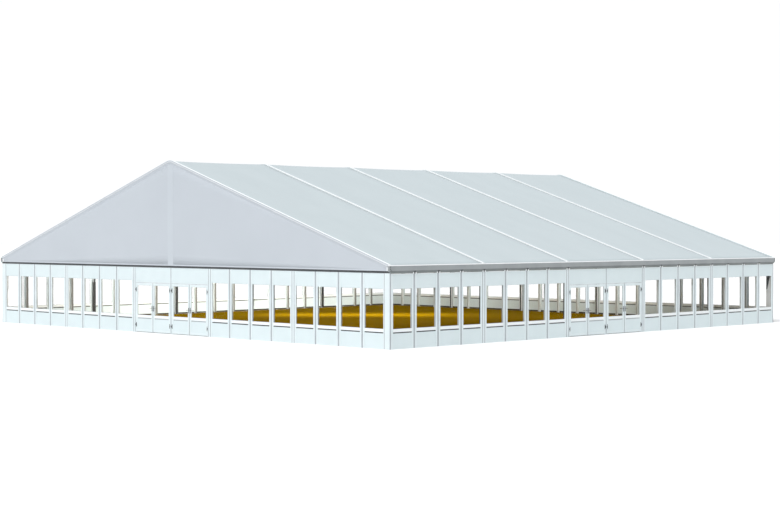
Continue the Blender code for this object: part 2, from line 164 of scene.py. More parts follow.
# Door handles. A bend is a run along, a step off the leaf and a rise. A ring is a rise, a step and a radius
HANDLE_PLATE = (-0.13, 0.09)
HANDLE_PLATE_HALF = 0.021
HANDLE_PLATE_THICK = 0.005
LEVER_RADIUS = 0.0085
LEVER_OUT = 0.044
LEVER_BENDS = (
    (0.0, 0.0, 0.0),
    (0.0, 0.034, 0.0),
    (0.003, 0.041, 0.0),
    (0.012, LEVER_OUT, 0.0),
    (0.118, LEVER_OUT, -0.002),
)
LEVER_RING = (0.0, 0.012, 0.016)
KEY_RING = (-0.085, 0.010, 0.011)

# Cloth. The billow is full on a gable that is BILLOW_FULL high, and the sag at SAG_FADE from an eave
FABRIC_THICK = 0.004
CLOTH_DEPTH = 0.003
CLOTH_TUCK = 0.004
SAG = 0.022
SAG_FADE = 1.2
SAG_FULLNESS = 0.8
BILLOW = 0.012
BILLOW_FULL = 2.0
GABLE_REACH = COLUMN_OUT - 0.05
GABLE_DEPTH = FRAME_DROP + RAIL_ROOT + 0.01
GABLE_FACE = HALF_LENGTH + GAP + 0.010
HEM_FOOT = HEM - 0.026
HEM_HEAD = HEM + 0.030
HEM_OVER = 0.02
HEM_DEPTHS = (0.004, 0.019)
SEAM_HALF = 0.18
SEAM_THICK = 0.002
SEAM_STOP = 0.01

# Trim on the fascias. Standoffs are from a fascia's face, its lower face or the wall, and outward
BEAD_LEVELS = (2.935, 2.875)
BEAD = 0.010
BEAD_INSET = 0.01
BEAD_STANDOFF = (-0.002, 0.002)
EAVE_EDGE = (2.9735, 3.004)
EAVE_EDGE_IN = HALF_WIDTH - 0.03
EAVE_EDGE_OUT = FASCIA_OUT + 0.003
APRON_SETBACK = 0.012
APRON_CUT = 0.112
APRON_THICK = 0.003
END_PLATE = (0.004, 0.030)
END_PLATE_HEIGHTS = (FASCIA_BEND + 0.004, 2.970)
END_PLATE_STANDOFF = (-0.002, 0.003)
FASCIA_BOLTS = ((0.050, 2.945), (0.050, 2.865), (0.085, 2.810))
FASCIA_BOLT_RADIUS = 0.017
FASCIA_BOLT_HEAD = 0.006
CLIP_HALF = 0.045
CLIP_TOP = 2.79
CLIP_STANDOFF = (-0.004, 0.0055)
TAB = (0.042, 0.085)
TAB_HEIGHT = 0.050
TAB_STANDOFF = (-0.02, 0.032)

# Trim on the gables. A bracket's width is from the corner and its standoff from the wall
GABLE_LINE = 0.078
GABLE_LINE_REACH = HALF_WIDTH - 0.006
GABLE_LINE_HALF = 0.004
BRACKET_HEIGHTS = (2.80, 2.968)
BRACKET_WIDTH = (-0.13, -0.03)
BRACKET_STANDOFF = (-0.01, 0.030)
BRACKET_BOLT = (HALF_WIDTH - 0.06, 2.85)
BRACKET_BOLT_RADIUS = 0.012
BRACKET_BOLT_HEAD = 0.008

# Trim on the roof, with depths down from the covers' upper face
CAP_HALF = RAIL_HALF + 0.002
CAP_TOP = -0.025
CAP_BOTTOM = 0.004
# A verge strip has its edges out from the end line, its top's depth and its underside's at each edge
VERGE_STRIPS = {
    "caps": ((-0.030, VERGE + 0.001), CAP_TOP, (-0.021, -0.021)),
    "laps": ((-VERGE - 0.002, -0.031), CAP_TOP + GAP, (CAP_BOTTOM, CAP_BOTTOM)),
    "edging": ((0.012, VERGE + 0.003), -0.0205, (0.16, FRAME_DROP)),
}

# Trim on the columns, uprights and corners: dark strips and wedges of painted shade, and foot bolts. Depths
# and the wedges' places run out from the inner face
SHADE_STRIP_LOW = FLOOR_TOP + 0.004
COLUMN_SHADE_HALF = 0.08
COLUMN_SHADE_DEPTHS = (-0.02, 0.004)
UPRIGHT_SHADE_HALF = 0.045
UPRIGHT_SHADE_DEPTHS = (-0.006, 0.004)
UPRIGHT_SHADE_TOP = HEAD + 0.3
UPPER_SHADE_HEIGHTS = (1.745, HEAD + 0.02)
UPPER_SHADE_HALF = 0.040
UPPER_SHADE_DEPTHS = (-0.056, 0.005)
CORNER_SHADE_OUTLINE = ((0.01, 1.53), (0.05, 1.53), (0.22, 2.25), (0.22, 2.50), (0.01, 2.50))
CORNER_SHADE_BACK = HALF_LENGTH - FRAME_THICK
CORNER_SHADE_THICK = 0.018
FOOT_BOLT = (0.035, 0.105)
FOOT_BOLT_RADIUS = 0.010
FOOT_BOLT_LOW = 0.012

# Floor boards
BOARD_LENGTH = 2.5
BOARD_WIDTH = 0.25
BOARD_GAP = 0.003

# Stage
GROUND_RADIUS = 400.0
GROUND_DROP = 0.002
WORLD_LIGHT = 0.74
WORLD_BACKDROP = 1.02
SUN_STRENGTH = 1.85
SUN_ANGLE = math.radians(25)
SUN_TOWARD = (0.17, -0.555, 0.814)
WARM = (1.0, 0.97, 0.90)
WARMER = (1.0, 0.93, 0.86)
CAMERA_PLACE = (54.817, -54.640, 4.2456)
CAMERA_TURN = math.radians(45)
CAMERA_DOWN = math.radians(1.0126)
CAMERA_LENS = 77.387


# Materials

def node_tree(name):
    """A new material, its nodes and links, and its main shader."""
    made = bpy.data.materials.new(name)
    made.use_nodes = True
    nodes = made.node_tree.nodes
    shader = nodes["Principled BSDF"]
    return made, nodes, made.node_tree.links, shader


def object_coordinates(nodes, links, stretch=(1.0, 1.0, 1.0)):
    """Object coordinates, stretched per axis to give a texture its scale and direction."""
    coordinates = nodes.new("ShaderNodeTexCoord")
    mapping = nodes.new("ShaderNodeMapping")
    mapping.inputs["Scale"].default_value = stretch
    links.new(coordinates.outputs["Object"], mapping.inputs["Vector"])
    return mapping.outputs["Vector"]


def noise(nodes, links, scale, detail, stretch=(1.0, 1.0, 1.0)):
    """Noise in the object's own coordinates."""
    vector = object_coordinates(nodes, links, stretch)
    texture = nodes.new("ShaderNodeTexNoise")
    texture.inputs["Scale"].default_value = scale
    texture.inputs["Detail"].default_value = detail
    links.new(vector, texture.inputs["Vector"])
    return texture.outputs["Fac"]


def blend_colours(nodes, links, factor, low, high, start=0.35, end=0.65):
    """Blends two colours over a stretch of a texture's 0 to 1."""
    ramp = nodes.new("ShaderNodeValToRGB")
    ramp.color_ramp.elements[0].position = start
    ramp.color_ramp.elements[0].color = (*low, 1.0)
    ramp.color_ramp.elements[1].position = end
    ramp.color_ramp.elements[1].color = (*high, 1.0)
    links.new(factor, ramp.inputs["Fac"])
    return ramp.outputs["Color"]


def spread(nodes, links, factor, low, high):
    """Maps a texture's 0 to 1 to a range of values."""
    scaled = nodes.new("ShaderNodeMapRange")
    scaled.inputs["To Min"].default_value = low
    scaled.inputs["To Max"].default_value = high
    links.new(factor, scaled.inputs["Value"])
    return scaled.outputs["Result"]


def bump(nodes, links, shader, height, distance, strength):
    """A fine relief on a shader, its distance in metres."""
    made = nodes.new("ShaderNodeBump")
    made.inputs["Strength"].default_value = strength
    made.inputs["Distance"].default_value = distance
    links.new(height, made.inputs["Height"])
    links.new(made.outputs["Normal"], shader.inputs["Normal"])


def coated_metal(name, low, high, roughness=(0.36, 0.46), metallic=0.0):
    """Powder coat or anodising: faint clouds, streaks along the extrusion and a fine orange peel."""
    made, nodes, links, shader = node_tree(name)
    clouds = noise(nodes, links, 1.6, 5.0)
    links.new(blend_colours(nodes, links, clouds, low, high), shader.inputs["Base Color"])
    streaks = noise(nodes, links, 38.0, 3.0, (1.0, 1.0, 0.12))
    links.new(spread(nodes, links, streaks, *roughness), shader.inputs["Roughness"])
    shader.inputs["Metallic"].default_value = metallic
    peel = noise(nodes, links, 420.0, 2.0)
    bump(nodes, links, shader, peel, 0.0006, 0.25)
    return made


def coated_fabric(name, low, high, streak=(3.0, 3.0, 0.3)):
    """PVC-coated cloth: a fine crossed weave, soft clouds, faint dust streaks and a dull sheen."""
    made, nodes, links, shader = node_tree(name)
    clouds = noise(nodes, links, 1.1, 6.0, (0.35, 0.9, 0.35))
    links.new(blend_colours(nodes, links, clouds, low, high, 0.3, 0.7), shader.inputs["Base Color"])
    dust = noise(nodes, links, 9.0, 4.0, streak)
    links.new(spread(nodes, links, dust, 0.50, 0.62), shader.inputs["Roughness"])
    vector = object_coordinates(nodes, links)
    heights = []
    for direction in ("X", "Y", "Z"):
        wave = nodes.new("ShaderNodeTexWave")
        wave.bands_direction = direction
        wave.inputs["Scale"].default_value = 130.0
        wave.inputs["Distortion"].default_value = 0.6
        links.new(vector, wave.inputs["Vector"])
        heights.append(wave.outputs["Fac"])
    total = heights[0]
    for height in heights[1:]:
        adder = nodes.new("ShaderNodeMath")
        adder.operation = "ADD"
        links.new(total, adder.inputs[0])
        links.new(height, adder.inputs[1])
        total = adder.outputs[0]
    bump(nodes, links, shader, total, 0.0005, 0.2)
    shader.inputs["Sheen Weight"].default_value = 0.08
    return made


def floor_boards():
    """Lacquered golden-brown boards laid along the ridge, with grain and dark joints."""
    made, nodes, links, shader = node_tree("boards")
    bricks = nodes.new("ShaderNodeTexBrick")
    bricks.offset = 0.37
    bricks.inputs["Scale"].default_value = 1.0
    bricks.inputs["Brick Width"].default_value = BOARD_LENGTH
    bricks.inputs["Row Height"].default_value = BOARD_WIDTH
    bricks.inputs["Mortar Size"].default_value = BOARD_GAP
    bricks.inputs["Color1"].default_value = (0.275, 0.162, 0.0012, 1.0)
    bricks.inputs["Color2"].default_value = (0.325, 0.194, 0.0015, 1.0)
    bricks.inputs["Mortar"].default_value = (0.115, 0.064, 0.0009, 1.0)
    turned = object_coordinates(nodes, links)
    turned.node.inputs["Rotation"].default_value = (0.0, 0.0, math.pi / 2)
    links.new(turned, bricks.inputs["Vector"])
    grain = noise(nodes, links, 6.0, 8.0, (9.0, 0.7, 1.0))
    shade = blend_colours(nodes, links, grain, (0.82, 0.80, 0.75), (1.12, 1.10, 1.0), 0.3, 0.7)
    mixer = nodes.new("ShaderNodeMix")
    mixer.data_type = "RGBA"
    mixer.blend_type = "MULTIPLY"
    mixer.inputs["Factor"].default_value = 1.0
    links.new(bricks.outputs["Color"], mixer.inputs["A"])
    links.new(shade, mixer.inputs["B"])
    links.new(mixer.outputs["Result"], shader.inputs["Base Color"])
    links.new(spread(nodes, links, grain, 0.45, 0.6), shader.inputs["Roughness"])
    shader.inputs["Specular IOR Level"].default_value = 0.0
    bump(nodes, links, shader, grain, 0.0008, 0.2)
    return made


def clear_glass():
    """Thin clear panes: almost see-through, with a faint cool tint and slightly uneven gloss."""
    made, nodes, links, shader = node_tree("clear_panes")
    tint = noise(nodes, links, 0.8, 2.0)
    colour = blend_colours(nodes, links, tint, (0.08, 0.10, 0.10), (0.11, 0.13, 0.13))
    links.new(colour, shader.inputs["Base Color"])
    links.new(spread(nodes, links, tint, 0.03, 0.07), shader.inputs["Roughness"])
    shader.inputs["Alpha"].default_value = 0.015
    made.blend_method = "BLEND"
    return made


def make_materials():
    """Every finish by its short name. Metals and cloths have a darker and a lighter tone."""
    metals = {
        "white": ("white_profile", (0.675, 0.755, 0.775), (0.70, 0.78, 0.80), (0.34, 0.46)),
        "board": ("infill_board", (0.645, 0.735, 0.757), (0.665, 0.755, 0.777), (0.42, 0.52)),
        "bright": ("bright_profile", (0.90, 0.93, 0.94), (0.94, 0.96, 0.97), (0.4, 0.5)),
        "sill": ("sill_profile", (0.81, 0.85, 0.86), (0.84, 0.88, 0.89)),
        # grey: mullions and joints, and also the lines of painted shadow on the doors
        "grey": ("grey_trim_and_painted_shadow", (0.35, 0.38, 0.41), (0.41, 0.44, 0.47), (0.36, 0.48)),
        "inner": ("inner_profile", (0.62, 0.66, 0.66), (0.68, 0.72, 0.72), (0.36, 0.48)),
        # inner_shade: painted shade on the inner posts' faces
        "inner_shade": ("inner_post_painted_shade", (0.15, 0.15, 0.14), (0.18, 0.18, 0.17), (0.45, 0.6)),
        # line: near-black painted shadow under the sills, under the gable hems and between the fascia clips
        "line": ("painted_shadow", (0.045, 0.05, 0.055), (0.065, 0.07, 0.075), (0.6, 0.75)),
        # black: near-black painted shade down the side columns' inner faces
        "black": ("black_painted_shade", (0.016, 0.017, 0.018), (0.024, 0.025, 0.026), (0.55, 0.7)),
        # base: dark painted shade where the walls meet the floor inside
        "base": ("floor_edge_painted_shade", (0.035, 0.023, 0.008), (0.050, 0.034, 0.012), (0.6, 0.75)),
        "seal": ("rubber_seal", (0.30, 0.31, 0.33), (0.36, 0.37, 0.39), (0.6, 0.75)),
        # dark: door and bolt hardware, and also the painted shade on the gable uprights and on the columns'
        # upper parts
        "dark": ("dark_hardware_and_painted_shade", (0.055, 0.06, 0.065), (0.085, 0.09, 0.095), (0.35, 0.5), 0.4),
        "steel": ("steel_hardware", (0.30, 0.32, 0.34), (0.38, 0.40, 0.42), (0.28, 0.4), 0.7),
        "frame": ("frame_profile", (0.70, 0.72, 0.73), (0.76, 0.78, 0.79), (0.36, 0.46), 0.2),
        "fascia": ("fascia_profile", (0.30, 0.325, 0.335), (0.34, 0.365, 0.375), (0.38, 0.5), 0.3),
        # fascia_dark: dark fascia finish; on the slanted aprons it is painted shade
        "fascia_dark": ("fascia_apron", (0.16, 0.18, 0.18), (0.20, 0.22, 0.22), (0.45, 0.6), 0.2),
        # beam: near-black painted shade on the gable beams in the recess under the hem
        "beam": ("gable_beam_painted_shade", (0.030, 0.034, 0.036), (0.05, 0.055, 0.058), (0.5, 0.65)),
    }
    cloths = {
        "roof": ("roof_cloth", (0.495, 0.565, 0.590), (0.515, 0.585, 0.610), (0.25, 3.0, 0.25)),
        "gable": ("gable_cloth", (0.468, 0.508, 0.552), (0.488, 0.528, 0.572)),
        "seam": ("gable_seam_cloth", (0.485, 0.528, 0.572), (0.505, 0.548, 0.592)),
        "edging": ("verge_cloth", (0.470, 0.510, 0.554), (0.490, 0.530, 0.574)),
    }
    made = {finish: coated_metal(*values) for finish, values in metals.items()}
    made.update({finish: coated_fabric(*values) for finish, values in cloths.items()})
    made["boards"] = floor_boards()
    made["glass"] = clear_glass()
    return made


MATERIALS = make_materials()


# Mesh helpers

def span(base, offsets):
    """Both ends of a stretch, by their offsets from a base."""
    return [base + offset for offset in offsets]


def about(middle, half):
    """Both ends of a stretch, by its middle and half of its length."""
    return [middle - half, middle + half]


def corner_at(axis, end, a, b):
    """A box's corner by its end on one axis and on the other two, each 0 or 1."""
    corner = [a, b]
    corner.insert(axis, end)
    return tuple(corner)


def add_bar(builder, low, high, chamfer=CHAMFER):
    """A box with chamfered edges, as wide as a thin box allows, added to a bmesh."""
    chamfer = min(chamfer, 0.4 * min(b - a for a, b in zip(low, high)))
    corners = {}
    for corner in product((0, 1), repeat=3):
        for axis in range(3):
            point = [high[k] if corner[k] else low[k] for k in range(3)]
            for k in range(3):
                if k != axis:
                    point[k] += -chamfer if corner[k] else chamfer
            corners[corner, axis] = builder.verts.new(point)
    for axis in range(3):
        first, second = [k for k in range(3) if k != axis]
        for end in (0, 1):
            ring = [corner_at(axis, end, a, b) for a, b in ((0, 0), (1, 0), (1, 1), (0, 1))]
            builder.faces.new([corners[corner, axis] for corner in ring])
        for a, b in product((0, 1), repeat=2):
            near, far = corner_at(axis, 0, a, b), corner_at(axis, 1, a, b)
            order = ((near, first), (far, first), (far, second), (near, second))
            builder.faces.new([corners[key] for key in order])
    for corner in product((0, 1), repeat=3):
        builder.faces.new([corners[corner, axis] for axis in range(3)])


def mirrored_bar(builder, signs, across, along, up, chamfer=CHAMFER):
    """A bar by its spans on X, Y and Z, with X and Y put on the sides that the signs say."""
    left, right = sorted(signs[0] * x for x in across)
    near, far = sorted(signs[1] * y for y in along)
    add_bar(builder, (left, near, up[0]), (right, far, up[1]), chamfer)


def join_rings(builder, rings):
    """A closed skin over a row of rings that have the same number of corners."""
    count = len(rings[0])
    for near, far in zip(rings, rings[1:]):
        for k in range(count):
            builder.faces.new((near[k], near[(k + 1) % count], far[(k + 1) % count], far[k]))
    builder.faces.new(rings[0])
    builder.faces.new(list(reversed(rings[-1])))


def join_rows(builder, rows):
    """An open sheet over rows of points."""
    for near, far in zip(rows, rows[1:]):
        for i in range(len(near) - 1):
            builder.faces.new((near[i], near[i + 1], far[i + 1], far[i]))


def add_tube(builder, path, radius, sides=14):
    """A round bar along a path of points, closed at both ends."""
    rings = []
    points = [Vector(p) for p in path]
    turns = [2 * math.pi * k / sides for k in range(sides)]
    for i, point in enumerate(points):
        before = points[max(i - 1, 0)]
        after = points[min(i + 1, len(points) - 1)]
        run = (after - before).normalized()
        side = run.orthogonal().normalized() if i == 0 else (side - run * side.dot(run)).normalized()
        up = run.cross(side)
        offsets = [(side * math.cos(t) + up * math.sin(t)) * radius for t in turns]
        rings.append([builder.verts.new(point + offset) for offset in offsets])
    join_rings(builder, rings)


def add_prism(builder, outline, start, end, place):
    """An outline drawn out between two depths. Place makes a point from its two values and a depth."""
    rings = [[builder.verts.new(place(a, b, depth)) for a, b in outline] for depth in (start, end)]
    join_rings(builder, rings)


def piece(name, builder, finish, body="tent", matrix=None, smooth=False):
    """A named object from a bmesh, on its body, with its material."""
    bmesh.ops.recalc_face_normals(builder, faces=builder.faces)
    mesh = bpy.data.meshes.new(name)
    builder.to_mesh(mesh)
    builder.free()
    mesh.materials.append(MATERIALS[finish])
    thing = bpy.data.objects.new(name, mesh)
    bpy.context.collection.objects.link(thing)
    if matrix is not None:
        mesh.transform(matrix)
    if smooth:
        for polygon in mesh.polygons:
            polygon.use_smooth = True
    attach(thing, body)
    return thing


def builders(kinds):
    """An empty bmesh for each kind of part."""
    return {kind: bmesh.new() for kind in kinds}


def add_pieces(prefix, parts, kinds, body="tent", matrix=None):
    """One piece for each kind of part, from a table of name endings, finishes and slots."""
    made = {}
    for kind, (ending, finish, slot) in kinds.items():
        made[kind] = piece(prefix + ending, parts[kind], finish, body, matrix)
    return made


# Each wall is drawn facing -Y with its outer face on y = 0, then turned about Z to its side.
# An inner post has its depth into the hall and half the width of the dark strip of painted shade on its
# inner face.
Side = namedtuple("Side", "turn offset top reach inner_post")
SIDE_POST = (0.14, 0.054)
GABLE_POST = (0.13, 0.015)
GABLE_SPAN = HALF_WIDTH - CORNER_POST
SIDES = {
    "front": Side(0.0, (0.0, -HALF_LENGTH, 0.0), GABLE_TOP, GABLE_SPAN, GABLE_POST),
    "right": Side(math.pi / 2, (HALF_WIDTH, 0.0, 0.0), SIDE_TOP, HALF_LENGTH, SIDE_POST),
    "back": Side(math.pi, (0.0, HALF_LENGTH, 0.0), GABLE_TOP, GABLE_SPAN, GABLE_POST),
    "left": Side(-math.pi / 2, (-HALF_WIDTH, 0.0, 0.0), SIDE_TOP, HALF_LENGTH, SIDE_POST),
}


def wall_matrix(side):
    """From a wall's own place, facing -Y, to its side of the tent."""
    return Matrix.Translation(SIDES[side].offset) @ Matrix.Rotation(SIDES[side].turn, 4, "Z")


# Roof shape

def roof_height(x, depth):
    """Height of the roof at a distance from the ridge, at a depth under the covers' upper face."""
    radius = RIDGE_ROUND - depth
    if abs(x) < radius * math.sin(PITCH):
        return RIDGE - RIDGE_ROUND / math.cos(PITCH) + math.sqrt(radius * radius - x * x)
    return RIDGE - abs(x) * math.tan(PITCH) - depth / math.cos(PITCH)


def roof_stations(reach, steps, ridge_steps):
    """Distances from the ridge, from one eave to the other, closer together over the round ridge."""
    edge = RIDGE_ROUND * math.sin(PITCH)
    slope = [edge + (reach - edge) * i / steps for i in range(steps + 1)]
    crown = [edge * (1 - 2 * i / ridge_steps) for i in range(1, ridge_steps)]
    return list(reversed(slope)) + crown + [-x for x in slope]


def solid_sheet(thing):
    """Gives a cloth surface its thickness."""
    modifier = thing.modifiers.new("thickness", "SOLIDIFY")
    modifier.thickness = FABRIC_THICK
    modifier.offset = -1.0
    graph = bpy.context.evaluated_depsgraph_get()
    mesh = bpy.data.meshes.new_from_object(thing.evaluated_get(graph))
    thing.modifiers.clear()
    thing.data = mesh


def roof_cover(number):
    """One bay's cloth, stretched between two rails and sagging a little between them."""
    start = (number - 1) * BAY - HALF_LENGTH
    low = start + (VERGE if number == 1 else RAIL_HALF) - CLOTH_TUCK
    high = start + BAY - (VERGE if number == BAYS else RAIL_HALF) + CLOTH_TUCK
    reach = HALF_WIDTH + EAVE_LAP
    across = 16
    builder = bmesh.new()
    rows = []
    for x in roof_stations(reach, steps=30, ridge_steps=8):
        held = math.sin(math.pi * min(1.0, (reach - abs(x)) / SAG_FADE) / 2)
        top = roof_height(x, CLOTH_DEPTH)
        row = []
        for i in range(across + 1):
            t = i / across
            sag = SAG * held * math.sin(math.pi * t) ** SAG_FULLNESS
            row.append(builder.verts.new((x, low + (high - low) * t, top - sag)))
        rows.append(row)
    join_rows(builder, rows)
    cloth = piece(f"roof_cloth_{number}", builder, "roof", smooth=True)
    solid_sheet(cloth)
    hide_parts(f"roof_cover_{number}")


def gable_billow(v, top):
    """How far the gable cloth stands out at a share of its height."""
    return BILLOW * math.sin(math.pi * v) * min(1.0, (top - HEM) / BILLOW_FULL)


def gable_seam(name, sign):
    """The flat welded seam that follows the gable cloth up its middle."""
    top = roof_height(SEAM_HALF, GABLE_DEPTH) - SEAM_STOP
    foot = HEM_HEAD + GAP
    steps = 10
    builder = bmesh.new()
    rings = []
    for i in range(steps + 1):
        v = i / steps
        near = GABLE_FACE + gable_billow(v, top) + GAP
        far = near + SEAM_THICK
        z = foot + (top - foot) * v
        corners = ((-SEAM_HALF, near), (SEAM_HALF, near), (SEAM_HALF, far), (-SEAM_HALF, far))
        rings.append([builder.verts.new((x, sign * y, z)) for x, y in corners])
    join_rings(builder, rings)
    return piece(f"{name}_gable_seam", builder, "seam")


def gable_hem(name, sign):
    """The welded hem that holds the cloth to the gable beam."""
    builder = bmesh.new()
    across, along = about(0.0, GABLE_REACH + HEM_OVER), span(HALF_LENGTH, HEM_DEPTHS)
    mirrored_bar(builder, (1, sign), across, along, (HEM_FOOT, HEM_HEAD), SOFT)
    return piece(f"{name}_gable_hem", builder, "seam")


def gable_cloth(front):
    """The triangle of cloth over a gable wall, with its hem and a welded seam up the middle."""
    name = "front" if front else "back"
    sign = -1 if front else 1
    stations = roof_stations(GABLE_REACH, steps=26, ridge_steps=6)
    rows = 10
    builder = bmesh.new()
    grid = []
    for x in stations:
        top = roof_height(x, GABLE_DEPTH)
        column = []
        for i in range(rows + 1):
            v = i / rows
            y = sign * (GABLE_FACE + gable_billow(v, top))
            column.append(builder.verts.new((x, y, HEM + (top - HEM) * v)))
        grid.append(column)
    join_rows(builder, grid)
    cloth = piece(f"{name}_gable_cloth", builder, "gable", smooth=True)
    solid_sheet(cloth)
    seam = gable_seam(name, sign)
    hem = gable_hem(name, sign)
    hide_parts(f"{name}_gable_fabric")


# Walls

WALL_KINDS = {
    "white": ("profiles", "white", "wall_panel"),
    "board": ("boards", "board", "wall_panel"),
    "grey": ("mullions", "grey", "frame_aluminium"),
    "sill": ("sills", "sill", "wall_panel"),
    "inner": ("inner_posts", "inner", "frame_aluminium"),
    "inner_shade": ("inner_post_shade_strips", "inner_shade", "dark_metal"),
    "line": ("shadow_lines", "line", "dark_metal"),
    "base": ("floor_edge_shade_strips", "base", "dark_metal"),
    "seal": ("seals", "seal", "dark_metal"),
    "glass": ("panes", "glass", "window_glass"),
}


# A joint between panels: its place along the wall, half of the solid width there, and what stands there
Joint = namedtuple("Joint", "place half main corner")


def joints(start, end):
    """The panel joints in a stretch of wall, with those at its two ends."""
    found = []
    for i in range(PANELS + 1):
        u = i * PANEL - HALF_LENGTH
        main = i % PANELS_IN_BAY == 0
        corner = i in (0, PANELS)
        if start - PANEL / 2 < u < end + PANEL / 2:
            found.append(Joint(u, POST_STILE if main else STILE, main, corner))
    return found


def panel_edge(joint):
    """From a joint to where the panel beside it begins: past a corner column, a main post or a mullion."""
    if joint.corner:
        return CORNER_PANEL
    return POST_HALF + POST_JOINT if joint.main else MULLION_HALF + MULLION_GAP


def add_main_post(parts, u, top, start, end):
    """A white main post with a grey joint at each side, kept inside its stretch of wall."""
    low, high = max(u - POST_HALF, start), min(u + POST_HALF, end)
    add_bar(parts["white"], (low, 0.0, 0.0), (high, FACE_DEPTH, top))
    foot, head = POST_JOINT_INSET, top - POST_JOINT_INSET
    for edge in (low, high):
        left, right = max(edge - POST_JOINT, start), min(edge + POST_JOINT, end)
        add_bar(parts["grey"], (left, -GAP, foot), (right, POST_JOINT_BACK, head), FINE)


def add_mullion(parts, u, top, inner_post):
    """A grey mullion between two panels, with the post behind it and a dark strip of painted shade on that
    post's inner face.
    """
    depth, shade_half = inner_post
    left, right = about(u, MULLION_HALF)
    add_bar(parts["grey"], (left, MULLION_RECESS, 0.0), (right, MULLION_BACK, top))
    left, right = about(u, INNER_HALF)
    add_bar(parts["inner"], (left, MULLION_BACK + GAP, ABOVE_FLOOR), (right, depth, top))
    # A dark strip of painted shade down the post's inner face.
    left, right = about(u, shade_half)
    front, back = depth - SHADE_STRIP_BED, depth + SHADE_STRIP_PROUD
    add_bar(parts["inner_shade"], (left, front, ABOVE_FLOOR), (right, back, top), FINE)


def add_pane(parts, start, end, low, high, front):
    """A pane and its rubber seals in an opening; front is the depth of the pane's outer face."""
    back = front + PANE_THICK
    add_bar(parts["glass"], (start + SEAL, front, low + SEAL), (end - SEAL, back, high - SEAL), FINE)
    seal_front, seal_back = front - SEAL_LIP, back + SEAL_LIP
    for a, b in ((start, start + SEAL), (end - SEAL, end)):
        add_bar(parts["seal"], (a, seal_front, low), (b, seal_back, high), FINE)
    for a, b in ((low, low + SEAL), (high - SEAL, high)):
        add_bar(parts["seal"], (start + SEAL, seal_front, a), (end - SEAL, seal_back, b), FINE)


def add_panel(parts, left, right, top):
    """One wall panel between two joints: stiles, rails, sill, a line of painted shadow under the sill, two
    boards, a dark strip of painted shade along its inner foot and its window.
    """
    panel_left, panel_right = left.place + panel_edge(left), right.place - panel_edge(right)
    hole_left, hole_right = left.place + left.half, right.place - right.half
    for low, high in ((panel_left, hole_left), (hole_right, panel_right)):
        add_bar(parts["white"], (low, 0.0, 0.0), (high, FACE_DEPTH, top))
    start, end = hole_left + GAP, hole_right - GAP
    for low, high in ((0.0, BOTTOM_RAIL), (top - TOP_RAIL, top)):
        add_bar(parts["white"], (start, GAP, low), (end, FACE_DEPTH, high))
    add_bar(parts["sill"], (start, GAP, SILL_LOW), (end, FACE_DEPTH, SILL))
    # A near-black line of painted shadow under the sill rail.
    shadow_low = SILL_LOW - SHADOW_LINE
    add_bar(parts["line"], (start, SHADOW_RECESS, shadow_low), (end, FACE_DEPTH, SILL_LOW), FINE)
    for low, high in ((BOTTOM_RAIL, shadow_low), (HEAD, top - TOP_RAIL)):
        add_bar(parts["board"], (start, RECESS, low + GAP), (end, FACE_DEPTH, high - GAP), FINE)
    # A dark strip of painted shade along the panel's inner foot, where the floor meets the wall.
    front, back = FACE_DEPTH + GAP, FACE_DEPTH + GAP + FLOOR_SHADE_THICK
    add_bar(parts["base"], (panel_left, front, ABOVE_FLOOR), (panel_right, back, FLOOR_SHADE_HIGH), FINE)
    add_pane(parts, start, end, SILL + GAP, HEAD - GAP, WALL_PANE)


def wall(name, side, start, end):
    """A stretch of wall with its posts, mullions and panels. It stands for a node of that name."""
    top = SIDES[side].top
    parts = builders(WALL_KINDS)
    found = joints(start, end)
    for joint in found:
        if joint.corner:
            continue
        if joint.main:
            add_main_post(parts, joint.place, top, start, end)
        else:
            add_mullion(parts, joint.place, top, SIDES[side].inner_post)
    for left, right in zip(found, found[1:]):
        add_panel(parts, left, right, top)
    made = add_pieces(f"{name}_", parts, WALL_KINDS, matrix=wall_matrix(side))
    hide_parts(name)
    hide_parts(name.replace("_wall", "_glass"))


def walls():
    """All four walls, with those at the front and right split by their entrances."""
    for side, values in SIDES.items():
        reach = values.reach
        if side in ("front", "right"):
            wall(f"{side}_wall_a", side, -reach, -DOOR_HALF - GAP)
            wall(f"{side}_wall_b", side, DOOR_HALF + GAP, reach)
        else:
            wall(f"{side}_wall", side, -reach, reach)


def corner_posts():
    """Cladding on the corner columns, with a grey edge on the long side and a joint on the gable."""
    white, grey = bmesh.new(), bmesh.new()
    full, low = (0.0, GABLE_TOP), (0.0, SIDE_TOP)
    face, back = HALF_LENGTH + CORNER_PROUD, HALF_LENGTH - CORNER_BACK
    edge = HALF_WIDTH - CORNER_WRAP
    panel_end = HALF_LENGTH - CORNER_PANEL + GAP
    joint_end = panel_end + CORNER_JOINT
    strip = face - CORNER_EDGE
    outer = (HALF_WIDTH - CORNER_SIDE, HALF_WIDTH - GAP)
    for signs in product((1, -1), repeat=2):
        mirrored_bar(white, signs, (joint_end, edge), (back, face), full, SOFT)
        mirrored_bar(grey, signs, (panel_end, joint_end - GAP), (back, face - GAP), full, FINE)
        mirrored_bar(grey, signs, (edge + GAP, HALF_WIDTH), (strip, face), low, SMALL)
        mirrored_bar(white, signs, outer, (panel_end, strip - GAP), low, SMALL)
    piece("corner_cladding", white, "white")
    piece("corner_joints", grey, "grey")


# Doors, drawn in their wall's place as the panels are

